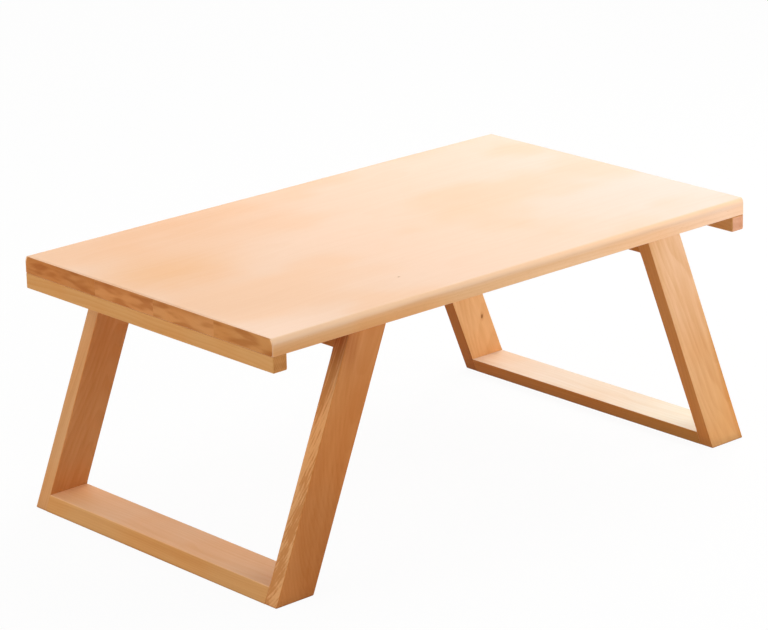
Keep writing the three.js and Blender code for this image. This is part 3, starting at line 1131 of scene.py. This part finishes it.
class TEATABLE_OT_dowels(bpy.types.Operator):
    """Draw the fluted dowels in the joints between legs and rails"""

    bl_idname = "teatable.dowels"
    bl_label = "Dowels"

    def execute(self, context):
        sizes = context.scene.tea_table_fastener
        cut = Cut(pith=(0, 0, 0.06), turn=ALONG_Y, rings=2.2, figure=0.7)
        finish = wood("dowel_beech", context.scene.tea_table_wood.dowel, None, cut)
        around = 8 * sizes.flutes
        turn = 2 * pi * np.arange(around) / around
        flute = np.abs(np.sin(turn * sizes.flutes / 2)) ** 0.5
        for node, _, _ in dowels():
            width, reach, _ = spread(node)
            full, slim = width / 2, width / 2 - sizes.dowel_chamfer
            half, inner = reach / 2, reach / 2 - sizes.dowel_chamfer
            radii = np.array([slim, full, full, slim])[:, None] - sizes.flute_depth * (1 - flute)
            made = turned(radii, [-half, -inner, inner, half], around, middle(node), "Y")
            dressed(node, finish, made)
        return {"FINISHED"}


class TEATABLE_OT_bolts(bpy.types.Operator):
    """Draw the bolts, washers and inserts that hold the frames to the top"""

    bl_idname = "teatable.bolts"
    bl_label = "Bolts, washers and inserts"

    def execute(self, context):
        sizes = context.scene.tea_table_fastener
        woods = context.scene.tea_table_wood
        steel = metal("zinc_steel", woods.steel)
        brass = metal("brass", woods.brass, 0.35)
        kinds = [numbered(kind, 3) for kind in ("bolt", "washer", "insert")]
        for bolt, washer, insert in zip(*kinds):
            self.bolt(sizes, bolt, steel)
            self.washer(sizes, washer, steel)
            self.insert(sizes, insert, brass)
        return {"FINISHED"}

    def bolt(self, sizes, node, finish):
        """A domed head, a quarter ellipse in section, under a threaded shank."""
        low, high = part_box(node)
        head = spread(node)[0] / 2
        dome = sizes.head_height - sizes.head_rim
        rise = np.linspace(DOME_START, pi / 2, 12)
        seat = low.z + sizes.head_height
        shank = sizes.bolt_diameter / 2
        thread, climb = threaded(high.z - seat, sizes.bolt_pitch, shank, shank - BOLT_THREAD)
        around = thread.shape[1]
        dome_radius = np.concatenate([head * np.sin(rise), [head]])
        dome_height = np.concatenate([low.z + dome * (1 - np.cos(rise)), [seat]])
        radius = np.concatenate([np.repeat(dome_radius[:, None], around, axis=1), thread])
        height = np.concatenate([dome_height, seat + climb])
        made = turned(radius, height, around, foot(node))
        ends = low.z - sizes.spare, low.z + sizes.socket_depth
        socket = pin(sizes.socket_width / 2, *ends, foot(node), around=6)
        dressed(node, finish, made, [[socket]])

    def washer(self, sizes, node, finish):
        """A flat ring with its outer edges broken by the stamping."""
        low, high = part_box(node)
        outer = spread(node)[0] / 2
        inner = sizes.bolt_diameter / 2 + sizes.clearance
        rim = outer - WASHER_EDGE
        radius = [inner, rim, outer, outer, rim, inner]
        height = [low.z, low.z, low.z + WASHER_EDGE, high.z - WASHER_EDGE, high.z, high.z]
        made = turned(radius, height, 48, foot(node), closed=True)
        dressed(node, finish, made)

    def insert(self, sizes, node, finish):
        """A sleeve with a coarse thread outside."""
        low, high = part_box(node)
        outer = spread(node)[0] / 2
        inner = sizes.bolt_diameter / 2 + sizes.clearance
        root = outer - INSERT_THREAD
        thread, climb = threaded(high.z - low.z, sizes.insert_pitch, outer, root, 36, 10, 0.5)
        bore = np.full((1, thread.shape[1]), inner)
        radius = np.concatenate([bore, thread, bore])
        height = np.concatenate([[low.z], low.z + climb, [high.z]])
        made = turned(radius, height, thread.shape[1], foot(node), closed=True)
        dressed(node, finish, made)


class TEATABLE_OT_screws(bpy.types.Operator):
    """Draw the countersunk screws that hold the battens"""

    bl_idname = "teatable.screws"
    bl_label = "Batten screws"

    def execute(self, context):
        steel = metal("screw_steel", context.scene.tea_table_wood.steel, 0.34)
        for node in numbered("batten_screw", 4):
            self.screw(context.scene.tea_table_fastener, node, steel)
        return {"FINISHED"}

    def screw(self, sizes, node, finish):
        """A countersunk head with a cross recess, and a thread that tapers to a point."""
        (head, shank, _, point), (low, neck, taper, high) = screw_profile(sizes, node, 0, 0)
        thread, climb = threaded(high - neck, sizes.screw_pitch, shank, shank - SCREW_THREAD, 24, 8)
        slim = np.interp(neck + climb, [neck, taper, high], [1, 1, point / shank])
        thread = thread * slim[:, None]
        around = thread.shape[1]
        top = np.array([[head - SCREW_EDGE], [head]]) * np.ones((2, around))
        height = np.concatenate([[low, low + SCREW_EDGE], neck + climb])
        made = turned(np.concatenate([top, thread]), height, around, foot(node))
        ends = low - sizes.spare, low + sizes.recess_depth
        along = stations(*ends, 0, 0, steps=0, spacing=1, hold=0.1 * MM)
        x, y, _ = foot(node)
        signs = ((-1, -1), (1, -1), (1, 1), (-1, 1))
        arms = []
        reach, width = sizes.recess_length / 2, sizes.recess_width / 2
        for right, back in ((reach, width), (width, reach)):
            corners = [(x + i * right, y + j * back) for i, j in signs]
            arm = carried(corners, np.zeros((4, 2)), along, lambda *point: point)
            arms.append(arm[:2])
        dressed(node, finish, made, [[arm] for arm in arms])


# Stage

# The point that the camera aims at, the size of each soft light with its place and its own aim,
# how far the floor lies under the soles, and how far it reaches to each side
AIM = (0.0778, 0.1026, 0.145)
LIGHTS = (
    ("key", 1.2, (1.2, -1.3, 1.0), (0.15, 0, 0.15)),
    ("low", 0.8, (0.9, -1.2, 0.6), (0.15, 0, 0.15)),
    ("right", 1.2, (1.1, 0.3, 1.7), (0.15, 0, 0.25)),
    ("left", 1.4, (-2.0, 0.2, 1.1), (0, 0, 0.15)),
    ("back", 2.4, (1.75, 1.95, 1.75), (0, 0, 0.25)),
)
FLOOR_DROP = 0.05 * MM
FLOOR_REACH = 12


class TEATABLE_OT_stage(bpy.types.Operator):
    """Set the camera, the lights and the floor"""

    bl_idname = "teatable.stage"
    bl_label = "Stage"

    def execute(self, context):
        stage = context.scene.tea_table_stage
        self.camera(context, stage)
        self.lights(context, stage)
        self.floor(context, stage)
        context.scene.view_settings.view_transform = "Standard"
        return {"FINISHED"}

    def camera(self, context, stage):
        """A camera that looks at one point, from an azimuth and an elevation, rolled a little."""
        back = Vector((
            sin(stage.azimuth) * cos(stage.elevation),
            -cos(stage.azimuth) * cos(stage.elevation),
            sin(stage.elevation),
        ))
        level = Vector((cos(stage.azimuth), sin(stage.azimuth), 0))
        upright = back.cross(level)
        right = level * cos(stage.roll) + upright * sin(stage.roll)
        up = upright * cos(stage.roll) - level * sin(stage.roll)
        data = bpy.data.cameras.new("camera")
        data.lens = stage.lens
        data.sensor_width = 36
        data.clip_end = 60
        camera = bpy.data.objects.new("camera", data)
        camera.matrix_world = Matrix((right, up, back)).transposed().to_4x4()
        camera.location = Vector(AIM) + back * stage.distance
        context.scene.collection.objects.link(camera)
        context.scene.camera = camera

    def lights(self, context, stage):
        """Large soft lights, most of them on the right, and even light from all round."""
        for name, size, place, aim in LIGHTS:
            data = bpy.data.lights.new(name, "AREA")
            data.energy = getattr(stage, name)
            data.shape = "SQUARE"
            data.size = size
            light = bpy.data.objects.new(name, data)
            light.location = place
            light.rotation_euler = (Vector(place) - Vector(aim)).to_track_quat("Z", "Y").to_euler()
            context.scene.collection.objects.link(light)
        world = bpy.data.worlds.new("studio")
        studio = Graph(world)
        seen = studio.white_rays()
        background = studio.nodes["Background"]
        tint = studio.mixed(seen, stage.warmth, (1, 1, 1))
        studio.put(background.inputs["Color"], tint)
        studio.put(background.inputs["Strength"], stage.ambient + seen * (1 - stage.ambient))
        context.scene.world = world

    def floor(self, context, stage):
        """A wide plane, a grid of the plane's two directions. It looks white from above, keeps
        a little of the object's shadow, and is clear from below. It is also clear to what a
        sole less than a finger above it gives off, so that the soles aren't black."""
        side = np.linspace(-FLOOR_REACH, FLOOR_REACH, 5)
        x, y = np.meshgrid(side, side, indexing="ij")
        points = np.stack([x, y, 0 * x - FLOOR_DROP], axis=-1).reshape(-1, 3)
        index = np.arange(x.size).reshape(x.shape)
        quads = np.stack([index[:-1, :-1], index[1:, :-1], index[1:, 1:], index[:-1, 1:]], axis=-1)
        mesh = bpy.data.meshes.new("floor")
        mesh.from_pydata(points.tolist(), [], quads.reshape(-1, 4).tolist())
        floor = bpy.data.objects.new("floor", mesh)
        context.scene.collection.objects.link(floor)
        finish = Finish("floor", stage.floor, Base_Color=stage.floor, Specular_IOR_Level=0)
        white = finish.node("ShaderNodeEmission")
        lit = Wire(finish, finish.surface.outputs[0])
        pale = finish.blended(finish.white_rays() * (1 - stage.shadow), lit, white)
        behind = finish.node("ShaderNodeNewGeometry", output="Backfacing")
        close = finish.fade(finish.ray("Ray Length"), 20 * MM, 10 * MM)
        under = close * finish.ray("Is Diffuse Ray")
        clear = finish.node("ShaderNodeBsdfTransparent")
        shown = finish.blended(finish.maths("MAXIMUM", behind, under), pale, clear)
        finish.put(finish.nodes["Material Output"].inputs["Surface"], shown)
        mesh.materials.append(finish.material)


# Add-on


OPERATORS = (
    TEATABLE_OT_tabletop,
    TEATABLE_OT_battens,
    TEATABLE_OT_legs,
    TEATABLE_OT_rails,
    TEATABLE_OT_dowels,
    TEATABLE_OT_bolts,
    TEATABLE_OT_screws,
    TEATABLE_OT_stage,
)

SETTINGS = {
    "tea_table_top": TopSettings,
    "tea_table_frame": FrameSettings,
    "tea_table_fastener": FastenerSettings,
    "tea_table_wood": WoodSettings,
    "tea_table_stage": StageSettings,
}


class TEATABLE_PT_sidebar(bpy.types.Panel):
    """The table's settings and the operators that draw it"""

    bl_idname = "TEATABLE_PT_sidebar"
    bl_label = "Tea Table"
    bl_space_type = "VIEW_3D"
    bl_region_type = "UI"
    bl_category = "Tea Table"

    def draw(self, context):
        for operator in OPERATORS:
            self.layout.operator(operator.bl_idname)
        for name, settings in SETTINGS.items():
            box = self.layout.box()
            box.label(text=settings.__doc__)
            for key in settings.__annotations__:
                box.prop(getattr(context.scene, name), key)


def register():
    """Adds the settings, the operators and the panel to Blender."""
    for settings in SETTINGS.values():
        bpy.utils.register_class(settings)
    for name, settings in SETTINGS.items():
        setattr(bpy.types.Scene, name, PointerProperty(type=settings))
    for operator in OPERATORS:
        bpy.utils.register_class(operator)
    bpy.utils.register_class(TEATABLE_PT_sidebar)


def unregister():
    """Takes all of them out again, last first."""
    bpy.utils.unregister_class(TEATABLE_PT_sidebar)
    for operator in reversed(OPERATORS):
        bpy.utils.unregister_class(operator)
    for name in SETTINGS:
        delattr(bpy.types.Scene, name)
    for settings in reversed(SETTINGS.values()):
        bpy.utils.unregister_class(settings)


def main():
    """Draws the stage and every piece."""
    register()
    bpy.ops.teatable.stage()
    bpy.ops.teatable.tabletop()
    bpy.ops.teatable.battens()
    bpy.ops.teatable.legs()
    bpy.ops.teatable.rails()
    bpy.ops.teatable.dowels()
    bpy.ops.teatable.bolts()
    bpy.ops.teatable.screws()


if __name__ == "__main__":
    main()
